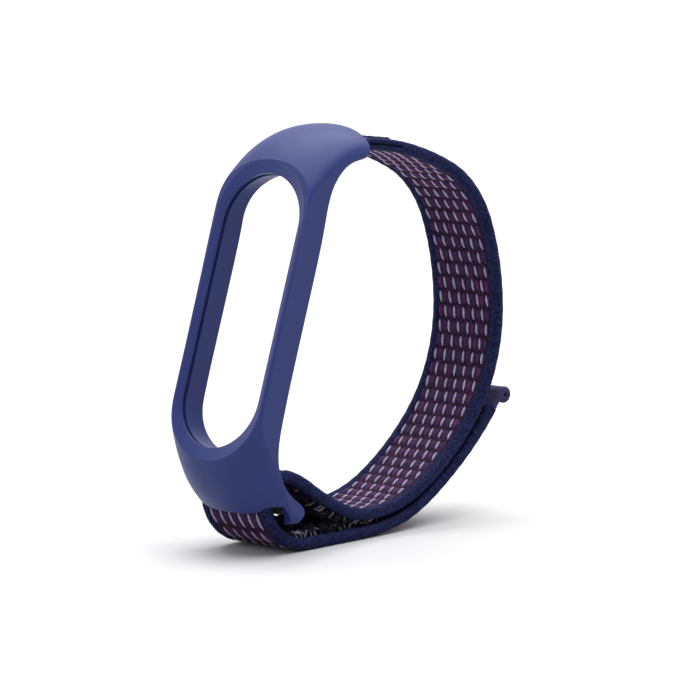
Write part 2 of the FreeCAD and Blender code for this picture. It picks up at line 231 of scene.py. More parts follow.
@dataclass(frozen=True)
class Yarn:
    """Nylon yarn or fine fabric.

    Attributes:
        name: Material name.
        colour: Base colour in linear values.
        roughness: Surface roughness.
        speckle: Strength of the light and dark speckle.
        scale: Scale of the speckle, in repeats per metre.
        bump: Height of the relief, in metres.
        sheen: Sheen weight.
        sheen_roughness: Roughness of the sheen.
        specular: Strength of its highlights.
    """

    name: str
    colour: Colour
    roughness: float = 0.62
    speckle: float = 0.7
    scale: float = 2600.0
    bump: float = 0.05 * MM
    sheen: float = 0.15
    sheen_roughness: float = 0.4
    specular: float = 0.16

    def build(self, group: bpy.types.NodeTree) -> bpy.types.Material:
        """Return the finished material.

        Args:
            group: The shared fine-yarn effect.

        Returns:
            The material.
        """
        skin = Skin(self.name)
        yarn = skin.add("ShaderNodeGroup", node_tree=group, Colour=(*self.colour, 1.0),
                        Scale=self.scale, Speckle=self.speckle)
        bump = skin.add("ShaderNodeBump", Strength=1.0, Distance=self.bump,
                        Height=yarn.outputs["Height"])
        return skin.finish(Base_Color=yarn.outputs["Colour"], Normal=bump.outputs["Normal"],
                           Roughness=self.roughness, Sheen_Weight=self.sheen,
                           Sheen_Roughness=self.sheen_roughness,
                           Specular_IOR_Level=self.specular)


@dataclass(frozen=True)
class Ground:
    """Woven ground of the strap: knitted navy selvedges and an aubergine middle.

    Attributes:
        name: Material name.
        edge: Colour of the lighter selvedge stitches in linear values.
        shade: Colour of the darker selvedge stitches in linear values.
        middle: Colour of the woven middle in linear values.
        thread: Colour of the stray threads of the middle in linear values.
        edge_start: Distance from the strap's centre line where a selvedge starts, mm.
        stitch_scale: Scale of the knit stitches, in repeats per metre.
        stitch_power: How much the darker stitches prevail.
        stray_from: Share of the middle's stitches that aren't stray threads.
        yarn_scale: Scale of the yarn's speckle, in repeats per metre.
        speckle: Strength of that speckle.
        bump: Height of the relief, in metres.
        roughness: Surface roughness.
        specular: Strength of its highlights.
    """

    name: str
    edge: Colour
    shade: Colour
    middle: Colour
    thread: Colour
    edge_start: float = 5.75
    stitch_scale: float = 3300.0
    stitch_power: float = 1.6
    stray_from: float = 0.72
    yarn_scale: float = 3400.0
    speckle: float = 0.8
    bump: float = 0.1 * MM
    roughness: float = 0.7
    specular: float = 0.08

    def build(self, group: bpy.types.NodeTree) -> bpy.types.Material:
        """Return the finished material; its UV map holds run and cross distance in mm.

        Args:
            group: The shared fine-yarn effect.

        Returns:
            The material.
        """
        skin = Skin(self.name)
        place = skin.add("ShaderNodeUVMap", uv_map="strap")
        split = skin.add("ShaderNodeSeparateXYZ", Vector=place.outputs["UV"])
        side = skin.maths("ABSOLUTE", split.outputs["Y"])
        edge = skin.maths("GREATER_THAN", side, self.edge_start)
        coords = skin.add("ShaderNodeTexCoord").outputs["Object"]
        cells = skin.add("ShaderNodeTexVoronoi", Vector=coords, Scale=self.stitch_scale)
        hue = skin.add("ShaderNodeSeparateXYZ", Vector=cells.outputs["Color"])
        stitch = skin.maths("POWER", hue.outputs["X"], self.stitch_power)
        stray = skin.maths("GREATER_THAN", hue.outputs["Y"], self.stray_from)
        selvedge = skin.mix(stitch, (*self.shade, 1.0), (*self.edge, 1.0))
        middle = skin.mix(stray, (*self.middle, 1.0), (*self.thread, 1.0))
        yarn = skin.add("ShaderNodeGroup", node_tree=group, Scale=self.yarn_scale,
                        Colour=skin.mix(edge, middle, selvedge), Speckle=self.speckle)
        height = skin.maths("SUBTRACT", yarn.outputs["Height"], cells.outputs["Distance"])
        bump = skin.add("ShaderNodeBump", Strength=1.0, Distance=self.bump, Height=height)
        return skin.finish(Base_Color=yarn.outputs["Colour"], Normal=bump.outputs["Normal"],
                           Roughness=self.roughness, Specular_IOR_Level=self.specular)


@dataclass(frozen=True)
class Steel:
    """Brushed steel of the spring bars.

    Attributes:
        name: Material name.
        colour: Base colour in linear values.
        roughness: Roughness of the smoothest places.
        spread: How much rougher the roughest places are.
        brushing: Scale of the brushing along each axis, in repeats per metre.
    """

    name: str
    colour: Colour = (0.56, 0.56, 0.58)
    roughness: float = 0.3
    spread: float = 0.15
    brushing: tuple[float, float, float] = (9000.0, 400.0, 400.0)

    def build(self) -> bpy.types.Material:
        """Return the finished material."""
        skin = Skin(self.name)
        coords = skin.add("ShaderNodeTexCoord").outputs["Object"]
        stretch = skin.add("ShaderNodeMapping", Vector=coords, Scale=self.brushing)
        lines = skin.add("ShaderNodeTexNoise", Vector=stretch.outputs["Vector"], Scale=1.0)
        rough = skin.maths("MULTIPLY_ADD", lines.outputs["Fac"], self.spread, self.roughness)
        return skin.finish(Roughness=rough, Base_Color=(*self.colour, 1.0), Metallic=1.0)


@dataclass(frozen=True)
class Palette:
    """Every finished material of the band."""

    case: bpy.types.Material
    ground: bpy.types.Material
    light: bpy.types.Material
    magenta: bpy.types.Material
    plum: bpy.types.Material
    slate: bpy.types.Material
    dark: bpy.types.Material
    pile: bpy.types.Material
    thread: bpy.types.Material
    tab: bpy.types.Material
    hook: bpy.types.Material
    steel: bpy.types.Material

    @classmethod
    def mixed(cls) -> "Palette":
        """Build all materials once and return them."""
        group = yarn_group()
        return cls(
            case=Moulding("case_plastic", linear(38, 50, 106)).build(),
            ground=Ground("strap_ground", edge=linear(35, 43, 90), shade=linear(13, 16, 43),
                          middle=linear(26, 12, 36), thread=linear(66, 28, 64)).build(group),
            light=Yarn("yarn_light", linear(166, 150, 174), roughness=0.5,
                       speckle=0.8).build(group),
            magenta=Yarn("yarn_magenta", linear(104, 30, 86), sheen=0.05).build(group),
            plum=Yarn("yarn_plum", linear(76, 26, 70), sheen=0.05).build(group),
            slate=Yarn("yarn_slate", linear(36, 37, 76), sheen=0.05).build(group),
            dark=Yarn("yarn_dark", linear(15, 12, 28), sheen=0.0).build(group),
            pile=Yarn("yarn_pile", linear(160, 150, 168), speckle=0.4).build(group),
            thread=Yarn("sewing_thread", linear(36, 38, 88)).build(group),
            tab=Yarn("tab_webbing", linear(40, 36, 72), scale=1700.0, sheen=0.05).build(group),
            hook=Yarn("hook_tape", linear(30, 28, 60), sheen=0.0).build(group),
            steel=Steel("bar_steel").build())


class Trail:
    """A path in the plane across the strap, sampled evenly along its length.

    Attributes:
        STEP: Largest step between two samples, millimetres.
        ARC_STEP: Largest step along an arc, before the samples are taken.
        TINY: Shortest step that is divided by.
    """

    STEP = 0.05
    ARC_STEP = 0.1
    TINY = 1e-9

    def __init__(self, points: list[tuple[float, float]]) -> None:
        """Resample a dense list of (y, z) points, in millimetres, at even steps.

        Args:
            points: Points along the path.
        """
        lengths = [0.0]
        for (y0, z0), (y1, z1) in zip(points, points[1:]):
            lengths.append(lengths[-1] + math.hypot(y1 - y0, z1 - z0))
        self.length = lengths[-1]
        count = int(self.length / self.STEP)
        even, index = [], 0
        for i in range(count + 1):
            goal = self.length * i / count
            while index < len(points) - 2 and lengths[index + 1] < goal:
                index += 1
            gap = max(lengths[index + 1] - lengths[index], self.TINY)
            part = (goal - lengths[index]) / gap
            (y0, z0), (y1, z1) = points[index], points[index + 1]
            even.append((y0 + (y1 - y0) * part, z0 + (z1 - z0) * part))
        self.points = even
        self.step = self.length / count

    @classmethod
    def from_runs(cls, start: tuple[float, float], heading: float,
                  runs: tuple[tuple[float, float], ...]) -> "Trail":
        """Chain tangent arcs, each given by its length and its turn in degrees.

        Args:
            start: First point.
            heading: First direction, in degrees from +Y towards +Z.
            runs: Length and turn of each arc.

        Returns:
            The path.
        """
        (y, z), angle = start, math.radians(heading)
        points = [start]
        for length, turn in runs:
            parts = max(2, int(length / cls.ARC_STEP))
            for _ in range(parts):
                bend = math.radians(turn) / parts
                y += length / parts * math.cos(angle + bend / 2)
                z += length / parts * math.sin(angle + bend / 2)
                angle += bend
                points.append((y, z))
        return cls(points)

    def spot(self, along: float, side: float = 0.0) -> tuple[float, float, float]:
        """Find a place on the path.

        Args:
            along: Distance along the path, millimetres; it may run past either end.
            side: Distance to its left.

        Returns:
            Y, Z and the direction there in radians.
        """
        place = along / self.step
        index = min(max(int(place), 1), len(self.points) - 3)
        part = place - index
        (ya, za), (yb, zb) = self.points[index - 1], self.points[index]
        (yc, zc), (yd, zd) = self.points[index + 1], self.points[index + 2]
        before = math.atan2(zc - za, yc - ya)
        after = math.atan2(zd - zb, yd - yb)
        turn = (after - before + math.pi) % TURN - math.pi
        angle = before + turn * part
        y = yb + (yc - yb) * part - side * math.sin(angle)
        z = zb + (zc - zb) * part + side * math.cos(angle)
        return y, z, angle


@dataclass(frozen=True)
class Layout:
    """Where the strap runs, in millimetres about the centre of the window's front.

    Attributes:
        start: First point of the strap's middle line, behind the upper bar.
        heading: Direction there, degrees.
        runs: Length and turn of each arc of the middle line.
        upper_bar: Centre of the upper spring bar.
        fold_end: Distance along the strap where the sewn end stops.
        wrap_start: Distance where the strap reaches the lower bar.
        wrap_end: Distance where it reaches the floor.
        tail_start: Distance of the first bend of the free tail.
        tail_pitch: Distance between two bends of the tail.
        tail_count: Number of bends.
    """

    start: tuple[float, float] = (24.79, 25.87)
    heading: float = -4.3
    runs: tuple[tuple[float, float], ...] = (
        (7.6, -7.35), (14.0, -13.55), (14.6, -42.6), (14.6, -20.7), (21.6, -44.8),
        (16.1, -19.6), (15.1, -32.6), (5.0, -18.2), (10.0, -10.5), (5.3, 13.5), (2.87, 38.9),
        (4.86, 70.1), (3.03, 29.1), (3.6, 23.7), (7.03, 38.9), (14.04, 0.0), (9.1, 12.5),
        (6.0, 13.0), (6.0, 7.2), (6.0, 3.8), (6.0, 6.0), (6.0, 5.7))
    upper_bar: tuple[float, float] = (20.3, 25.1)
    fold_end: float = 7.6
    wrap_start: float = 118.6
    wrap_end: float = 145.29
    tail_start: float = 168.43
    tail_pitch: float = 6.0
    tail_count: int = 5

    @property
    def end(self) -> float:
        """Length of the strap's middle line."""
        return self.tail_start + self.tail_pitch * self.tail_count


class Plane:
    """Maps (x, y, z) in the layout's millimetres to the frame's metres."""

    def __init__(self, layout: Layout) -> None:
        """Find the shift from the upper bar's place in the CAD frame.

        Args:
            layout: Where the strap runs.
        """
        low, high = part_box("upper_bar_tube")
        middle = (Vector(low) + Vector(high)) / 2
        self.shift = middle - Vector((0, *layout.upper_bar)) * MM

    def point(self, x: float, y: float, z: float) -> Vector:
        """Return a point in the frame's metres."""
        return Vector((x, y, z)) * MM + self.shift


Placer = Callable[[float, float], Vector]


class Builder:
    """Collects meshes for one piece and turns them into an object.

    Attributes:
        BATCH: Number of vertices that a batch may keep.
        WELD: Distance within which a grid's two sides are joined, metres.
    """

    BATCH = 600
    WELD = 1e-8

    def __init__(self, name: str, *materials: bpy.types.Material) -> None:
        """Start an empty mesh.

        Args:
            name: Name of the piece.
            *materials: Its material slots in order.
        """
        self.name = name
        self.materials = materials
        self.data = bpy.data.meshes.new(name)
        self.whole = bmesh.new()
        self.start()

    def start(self) -> None:
        """Start a fresh batch, so that each operation works on a small mesh."""
        self.mesh = bmesh.new()
        self.uv = self.mesh.loops.layers.uv.new("strap")

    def flush(self, limit: int = 0) -> None:
        """Move the batch into the whole mesh.

        Args:
            limit: Number of vertices that the batch may keep.
        """
        if len(self.mesh.verts) <= limit:
            return
        bmesh.ops.recalc_face_normals(self.mesh, faces=self.mesh.faces)
        self.mesh.to_mesh(self.data)
        self.mesh.free()
        self.whole.from_mesh(self.data)
        self.start()

    def grid(self, rows: int, columns: int, place: Placer, slot: int = 0,
             mark: Callable[[float, float], tuple[float, float]] | None = None,
             weld: bool = False, capped: bool = False) -> None:
        """Add a grid bent into shape.

        Args:
            rows: Cells along.
            columns: Cells across.
            place: Gives the point for a share along and a share across.
            slot: Material slot.
            mark: Gives the UV for the same shares.
            weld: Whether the grid's two sides meet and are joined.
            capped: Whether its open ends are filled.
        """
        made = bmesh.ops.create_grid(self.mesh, x_segments=rows, y_segments=columns, size=0.5)
        shares = {vert: (vert.co.x + 0.5, vert.co.y + 0.5) for vert in made["verts"]}
        faces = {face for vert in shares for face in vert.link_faces}
        for face in faces:
            face.material_index = slot
            face.smooth = True
            if mark is not None:
                for loop in face.loops:
                    loop[self.uv].uv = mark(*shares[loop.vert])
        for vert, share in shares.items():
            vert.co = place(*share)
        if weld:
            bmesh.ops.remove_doubles(self.mesh, verts=list(shares), dist=self.WELD)
        if capped:
            rim = [edge for edge in self.mesh.edges if edge.is_boundary]
            bmesh.ops.holes_fill(self.mesh, edges=rim, sides=0)
        self.flush(self.BATCH)

    def bead(self, place: Callable[[Vector], Vector], around: int, along: int,
             slot: int = 0) -> None:
        """Add a small ball bent into a yarn float or a hook's head.

        Args:
            place: Maps a point of the unit ball, its pole along Z, to its place.
            around: Sides of the ball.
            along: Rings of the ball.
            slot: Material slot.
        """
        made = bmesh.ops.create_uvsphere(self.mesh, u_segments=around, v_segments=along,
                                         radius=1.0)
        verts = made["verts"]
        for face in {face for vert in verts for face in vert.link_faces}:
            face.material_index = slot
            face.smooth = True
        for vert in verts:
            vert.co = place(vert.co.copy())
        self.flush(self.BATCH)

    def finish(self) -> bpy.types.Object:
        """Return the finished object, linked to the scene."""
        self.flush()
        self.mesh.free()
        self.whole.to_mesh(self.data)
        self.whole.free()
        for material in self.materials:
            self.data.materials.append(material)
        piece = bpy.data.objects.new(self.name, self.data)
        bpy.context.scene.collection.objects.link(piece)
        LOG.info("%s: %d faces", self.name, len(self.data.polygons))
        return piece


class FloatYarn(IntEnum):
    """Yarns of the float face, as material slots."""

    LIGHT = 0
    MAGENTA = 1
    PLUM = 2
    SLATE = 3


class PileYarn(IntEnum):
    """Yarns of the pile face, as material slots."""

    DARK = 0
    PLUM = 1
    PALE = 2


@dataclass(frozen=True)
class Pile:
    """One kind of pile loop.

    Attributes:
        density: Loops per square millimetre.
        radius: Smallest and largest radius, millimetres.
        wire: Radius of the yarn.
        yarn: Its yarn.
        span: Part of the strap that carries it, in distances along.
        inset: Smallest distance from the strap's centre line.
    """

    density: float
    radius: tuple[float, float]
    wire: float
    yarn: PileYarn
    span: tuple[float, float] = (0.0, 999.0)
    inset: float = 0.0


@dataclass
class Webbing:
    """Woven strap along a path, with rolled selvedges, yarn floats and pile loops.

    Attributes:
        trail: Middle line of the strap.
        plane: Map from the layout to the frame.
        width: Width over the selvedges, millimetres.
        middle: Thickness of the woven middle.
        rim: Thickness of a selvedge.
        rim_width: Width of a selvedge.
        row_pitch: Distance between two rows of floats.
        column_pitch: Distance between two columns of floats.
        columns: Number of columns.
        dice: Source of all random draws.
        CLOSE: How far a row may pass its end, millimetres.
        ROW: Length of one cell of the body.
        FLAT_CELLS: Cells across each half of the flat middle.
        FLAT_SHARE: Share of the half width that they are spread by.
        ROLL_ANGLES: Angles of the points round a selvedge, degrees.
        ROLL_POWER: Power of a selvedge's rounded section; 2 is an ellipse.
        KNIT: Length of a selvedge's knit stitch, number of its ribs and their height as a
            share of the radius.
        WAVE: Length of a selvedge's slow wave and its height as a share of the radius.
        YARNS: Place in its column, radius and kind of each float's yarn.
        STAGGER: How far each row is shifted across, as a share of the column's pitch.
        MAGENTA_SHARE: Share of the plum floats that are magenta.
        SLANT: Slant of a float across the strap and its spread.
        REACH: Half the length of a float, as a share of the row, and its spread.
        WANDER: Spread of a float's place across.
        FLOAT_MARGIN: How far a float may lie over a selvedge.
        LIGHT_LIFT: How much further a light yarn stands out.
        LOOP_MARGIN: Distance of the pile loops from a selvedge and from the ends.
        LOOP_TILT: Largest tilt of a pile loop.
        LOOP_LIFT: Height of a loop's centre over the middle's face.
        LOOP_ARC: Turn of a loop's arc and the angle where it starts, in half turns.
    """

    CLOSE = 0.01
    ROW = 0.165
    FLAT_CELLS = 3
    FLAT_SHARE = 0.76
    ROLL_ANGLES = range(-72, 91, 9)
    ROLL_POWER = 2.3
    KNIT = (0.62, 7, 0.065)
    WAVE = (2.7, 0.02)
    YARNS = ((-0.78, 0.25, FloatYarn.LIGHT), (-0.3, 0.25, FloatYarn.SLATE),
             (0.2, 0.26, FloatYarn.PLUM), (0.68, 0.25, FloatYarn.SLATE))
    STAGGER = 0.25
    MAGENTA_SHARE = 0.22
    SLANT = (0.16, 0.05)
    REACH = (0.41, 0.03)
    WANDER = 0.06
    FLOAT_MARGIN = 0.1
    LIGHT_LIFT = 0.06
    LOOP_MARGIN = (0.2, 0.4)
    LOOP_TILT = 0.5
    LOOP_LIFT = 0.05
    LOOP_ARC = (1.25, 0.125)

    trail: Trail
    plane: Plane
    width: float = 15.0
    middle: float = 1.46
    rim: float = 2.0
    rim_width: float = 1.85
    row_pitch: float = 2.58
    column_pitch: float = 2.08
    columns: int = 6
    dice: random.Random = field(default_factory=lambda: random.Random(7))

    @property
    def rim_centre(self) -> float:
        """Distance from the strap's centre line to a selvedge's."""
        return self.width / 2 - self.rim_width / 2

    @property
    def rim_edge(self) -> float:
        """Distance from the strap's centre line to where a selvedge starts."""
        return self.width / 2 - self.rim_width

    def at(self, along: float, across: float, side: float) -> Vector:
        """Return the point at a distance along, across and off the middle line."""
        y, z, _ = self.trail.spot(along, side)
        return self.plane.point(across, y, z)

    def section(self) -> list[tuple[float, float]]:
        """Draw the outline of the strap's cross-section.

        Returns:
            Closed list of distances across and off the middle line.
        """
        half, centre = self.width / 2, self.rim_centre
        upper = []
        places = [half * (i / self.FLAT_CELLS) * self.FLAT_SHARE
                  for i in range(self.FLAT_CELLS)]
        places += [centre + self.rim_width / 2 * math.sin(math.radians(angle))
                   for angle in self.ROLL_ANGLES]
        power = self.ROLL_POWER
        for x in places:
            swell = abs((x - centre) / (self.rim_width / 2))
            rise = self.rim / 2 * max(0.0, 1 - swell ** power) ** (1 / power)
            if x < centre:
                rise = max(rise, self.middle / 2)
            upper.append((x, rise))
        right = upper + [(x, -h) for x, h in reversed(upper[:-1])]
        left = [(-x, h) for x, h in reversed(right)]
        return right + left[1:-1] + right[:1]

    def ground(self, build: Builder, start: float, stop: float) -> None:
        """Add the strap's body.

        Args:
            build: Mesh to add to.
            start: Distance along where it starts.
            stop: Distance along where it stops.
        """
        outline = self.section()
        columns = len(outline) - 1
        stitch, ribs, depth = self.KNIT
        wave, swing = self.WAVE
        edge, centre = self.rim_edge, self.rim_centre

        def place(u: float, w: float) -> Vector:
            """Return the body's point, with the relief of its knit selvedges."""
            x, h = outline[round(w * columns)]
            along = start + (stop - start) * u
            if abs(x) > edge:
                turn = math.atan2(h, abs(x) - centre)
                knot = math.sin(TURN * along / stitch) * math.sin(ribs * turn)
                ripple = 1 + depth * knot + swing * math.sin(TURN * along / wave + x)
                h *= ripple
                x = math.copysign(centre + (abs(x) - centre) * ripple, x)
            return self.at(along, x, h)

        def mark(u: float, w: float) -> tuple[float, float]:
            """Return the distance along and across."""
            return start + (stop - start) * u, outline[round(w * columns)][0]

        build.grid(max(2, int((stop - start) / self.ROW)), columns, place, mark=mark,
                   weld=True, capped=True)

    def rows(self, start: float, stop: float,
             stretch: Callable[[float], float]) -> list[tuple[float, float, int]]:
        """Find the places of the rows of floats.

        Args:
            start: Distance along where they start.
            stop: Distance along where they stop.
            stretch: Gives how much longer the rows are at a distance along.

        Returns:
            Middle, length and number of each row.
        """
        found, along, number = [], 0.0, 0
        while along < stop:
            pitch = self.row_pitch * stretch(along)
            if along >= start and along + pitch <= stop + self.CLOSE:
                found.append((along + pitch / 2, pitch, number))
            along += pitch
            number += 1
        return found

    def floats(self, build: Builder, rows: list[tuple[float, float, int]]) -> None:
        """Add the yarn floats on the float face, four yarns to a column.

        Args:
            build: Mesh with a slot for each kind of float yarn.
            rows: Middle, length and number of each row.
        """
        slant, reach = self.SLANT, self.REACH
        for centre, pitch, number in rows:
            offset = self.column_pitch * (self.STAGGER if number % 2 else -self.STAGGER)
            for column in range(self.columns):
                x = (column - (self.columns - 1) / 2) * self.column_pitch + offset
                for shift, radius, yarn in self.YARNS:
                    if abs(x + shift) > self.rim_edge + self.FLOAT_MARGIN:
                        continue
                    if yarn is FloatYarn.PLUM and self.dice.random() < self.MAGENTA_SHARE:
                        yarn = FloatYarn.MAGENTA
                    lean = slant[0] + self.dice.uniform(-slant[1], slant[1])
                    half = pitch * (reach[0] + self.dice.uniform(-reach[1], reach[1]))
                    wander = self.dice.uniform(-self.WANDER, self.WANDER)
                    lift = self.middle / 2
                    lift += self.LIGHT_LIFT if yarn is FloatYarn.LIGHT else 0.0
                    self.float_yarn(build, yarn, (centre, x + shift + wander, lift), half,
                                    radius, lean)

    def float_yarn(self, build: Builder, yarn: FloatYarn, spot: tuple[float, float, float],
                   half: float, radius: float, lean: float) -> None:
        """Add one float: a slim ball whose ends dip into the ground.

        Args:
            build: Mesh to add to.
            yarn: Kind of yarn.
            spot: Its middle's distances along, across and off the middle line.
            half: Half its length.
            radius: Radius of the yarn.
            lean: How far its ends lean across.
        """
        along, across, lift = spot
        dip, bend, plump = 0.1, 0.3, 1.05

        def place(p: Vector) -> Vector:
            """Return the place of a point of the unit ball."""
            x = across + radius * p.x + lean * p.z * abs(p.z) ** bend
            side = -(lift - dip * p.z * p.z + radius * plump * p.y)
            return self.at(along + half * p.z, x, side)

        build.bead(place, around=5, along=7, slot=yarn)

    def loops(self, build: Builder, start: float, stop: float, pile: Pile) -> None:
        """Add standing pile loops on the pile face.

        Args:
            build: Mesh with a slot for each kind of pile yarn.
            start: Distance along where they start.
            stop: Distance along where they stop.
            pile: Kind of loop.
        """
        margin, end_margin = self.LOOP_MARGIN
        reach = self.rim_edge - margin
        start, stop = max(start, pile.span[0]), min(stop, pile.span[1])
        count = int(max(0.0, stop - start) * 2 * reach * pile.density)
        for _ in range(count):
            along = self.dice.uniform(start + end_margin, stop - end_margin)
            across = self.dice.uniform(pile.inset, reach) * self.dice.choice((-1, 1))
            turn = self.dice.uniform(0, math.pi)
            radius = self.dice.uniform(*pile.radius)
            tilt = self.dice.uniform(-self.LOOP_TILT, self.LOOP_TILT)
            self.loop(build, pile, (along, across), turn, radius, tilt)

    def loop(self, build: Builder, pile: Pile, spot: tuple[float, float], turn: float,
             radius: float, tilt: float) -> None:
        """Add one pile loop.

        Args:
            build: Mesh to add to.
            pile: Kind of loop.
            spot: Its distances along and across.
            turn: Turn of its plane round the strap's normal, radians.
            radius: Radius of its arc.
            tilt: How far it leans over.
        """
        along, across = spot
        sweep, sunk = self.LOOP_ARC

        def place(u: float, w: float) -> Vector:
            """Return the point at a share along the arc and round the yarn."""
            arc = math.pi * (sweep * u - sunk)
            ring = radius + pile.wire * math.cos(TURN * w)
            flat, rise = ring * math.cos(arc), ring * math.sin(arc)
            off = pile.wire * math.sin(TURN * w) + tilt * rise
            return self.at(along + flat * math.cos(turn) - off * math.sin(turn),
                           across + flat * math.sin(turn) + off * math.cos(turn),
                           self.middle / 2 + self.LOOP_LIFT + rise)

        build.grid(rows=6, columns=3, place=place, slot=pile.yarn, weld=True)


class Strap:
    """The whole strap: sewn end, run round the wrist, wrap, floor run and free tail.

    Attributes:
        PILES: Kinds of pile loops: three all over the face, and the longer ones that fill
            the pocket behind the lower bar.
        PULLED: How much longer the rows are where the wrap pulls the weave open.
        PULLED_FROM: Distance past the start of the wrap where that begins.
        PULLED_PAST: Distance past its end where that stops.
        FOLD_RADIUS: Radius of the sewn end's middle line round the upper bar.
        FOLD_LAYER: Distance of its two layers from the strap's middle line.
        BEND_REACH: Distance before and after each of the tail's bends where a point on the
            middle line is found.
        PILED_TAILS: Number of the tail's lengths that carry pile.
    """

    PILES = (Pile(1.1, (0.3, 0.5), 0.085, PileYarn.DARK),
             Pile(0.25, (0.3, 0.5), 0.075, PileYarn.PLUM),
             Pile(0.3, (0.32, 0.52), 0.06, PileYarn.PALE),
             Pile(2.2, (0.6, 1.0), 0.13, PileYarn.DARK, (94.0, 118.0)),
             Pile(2.2, (0.6, 1.0), 0.13, PileYarn.DARK, (121.0, 167.0)),
             Pile(2.2, (1.2, 2.0), 0.17, PileYarn.DARK, (105.0, 114.0)),
             Pile(2.2, (1.2, 2.0), 0.17, PileYarn.DARK, (147.0, 156.0)),
             Pile(0.34, (0.85, 1.2), 0.11, PileYarn.PALE, (98.0, 116.0), 4.3),
             Pile(0.34, (0.85, 1.2), 0.11, PileYarn.PALE, (141.0, 158.0), 4.3))
    PULLED = 1.5
    PULLED_FROM = 8
    PULLED_PAST = 2
    FOLD_RADIUS = 1.3
    FOLD_LAYER = 0.5
    BEND_REACH = 2.4
    PILED_TAILS = 2

    def __init__(self, layout: Layout, palette: Palette) -> None:
        """Lay the strap's middle line.

        Args:
            layout: Where the strap runs.
            palette: Finished materials.
        """
        self.layout = layout
        self.palette = palette
        self.plane = Plane(layout)
        trail = Trail.from_runs(layout.start, layout.heading, layout.runs)
        self.web = Webbing(trail, self.plane)

    def stretch(self, along: float) -> float:
        """Return how far the rows are pulled open at a distance along the strap."""
        first = self.layout.wrap_start + self.PULLED_FROM
        return self.PULLED if first < along < self.layout.wrap_end + self.PULLED_PAST else 1.0

    def float_mesh(self, name: str) -> Builder:
        """Return an empty mesh with a slot for each kind of float yarn."""
        palette = self.palette
        return Builder(name, palette.light, palette.magenta, palette.plum, palette.slate)

    def part(self, name: str, start: float, stop: float,
             attach: Callable[[bpy.types.Object], None], piled: bool) -> None:
        """Build one length of the strap as body, floats and pile.

        Args:
            name: Stem of the pieces' names.
            start: Distance along where it starts.
            stop: Distance along where it stops.
            attach: Is called with each finished piece: it ties a piece of the band to its
                body, and bakes a piece of the tail in place.
            piled: Whether it carries pile.
        """
        palette = self.palette
        body = Builder(f"{name}_web", palette.ground)
        self.web.ground(body, start, stop)
        attach(body.finish())
        floats = self.float_mesh(f"{name}_floats")
        self.web.floats(floats, self.web.rows(start, stop, self.stretch))
        attach(floats.finish())
        if piled:
            pile = Builder(f"{name}_pile", palette.dark, palette.plum, palette.pile)
            for kind in self.PILES:
                self.web.loops(pile, start, stop, kind)
            attach(pile.finish())

    def fold_line(self) -> Trail:
        """Return the sewn end's middle line: in, round the upper bar and out again."""
        layout, base = self.layout, self.web.trail
        by, bz = layout.upper_bar
        radius, layer = self.FOLD_RADIUS, self.FOLD_LAYER
        along, around = 40, 60

        def touch(point: tuple[float, float], side: int) -> float:
            """Return the angle where a line from a point touches the turn round the bar."""
            dy, dz = point[0] - by, point[1] - bz
            return math.atan2(dz, dy) + side * math.acos(radius / math.hypot(dy, dz))

        points = [base.spot(layout.fold_end * (1 - i / along), -layer)[:2]
                  for i in range(along + 1)]
        first, last = touch(points[-1], -1), touch(base.spot(0.0, layer)[:2], 1)
        sweep = (first - last) % TURN
        points += [(by + radius * math.cos(first - sweep * i / around),
                    bz + radius * math.sin(first - sweep * i / around))
                   for i in range(around + 1)]
        points += [base.spot(layout.fold_end * i / along, layer)[:2]
                   for i in range(along + 1)]
        return Trail(points)

    def end_fold(self) -> None:
        """Build the sewn end: two thin layers closed round the upper bar."""
        web = Webbing(self.fold_line(), self.plane, middle=0.9, rim=1.0)
        body = Builder("strap_end_web", self.palette.ground)
        web.ground(body, 0.0, web.trail.length)
        piece = body.finish()
        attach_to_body(piece, "band")
        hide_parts("strap_end_fold")
        floats = self.float_mesh("strap_end_floats")
        web.floats(floats, web.rows(0.0, web.trail.length, lambda along: 1.0))
        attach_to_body(floats.finish(), "band")

    def static(self) -> None:
        """Build the part of the strap that stays round the wrist."""
        layout = self.layout

        def attach(piece: bpy.types.Object) -> None:
            """Tie a piece to the band."""
            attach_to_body(piece, "band")
            if piece.name.endswith("_web"):
                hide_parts("strap_main_run", "strap_wrap", "strap_tail_base")

        self.part("strap_round", layout.fold_end, layout.tail_start - layout.tail_pitch / 2,
                  attach, True)

    def tail(self) -> None:
        """Build the free tail, one length over each bend."""
        layout = self.layout
        pitch = layout.tail_pitch
        for number in range(1, layout.tail_count + 1):
            bend = layout.tail_start + pitch * (number - 1)
            stop = layout.end if number == layout.tail_count else bend + pitch / 2
            before = "band" if number == 1 else f"tail_{number - 1}"
            start_at = self.web.at(bend - self.BEND_REACH, 0.0, 0.0)
            end_at = self.web.at(bend + self.BEND_REACH, 0.0, 0.0)

            def attach(piece: bpy.types.Object, number: int = number, before: str = before,
                       start_at: Vector = start_at, end_at: Vector = end_at) -> None:
                """Bake a piece's placement into its mesh, and for the body hide the CAD tail
                length it replaces.
                """
                tuple(start_at)
                tuple(end_at)
                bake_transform(piece)
                if piece.name.endswith("_web"):
                    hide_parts(f"strap_tail_{number}")

            self.part(f"strap_tail_{number}", bend - pitch / 2, stop, attach,
                      number <= self.PILED_TAILS)

    def build(self) -> None:
        """Build every length of the strap."""
        self.end_fold()
        self.static()
        self.tail()


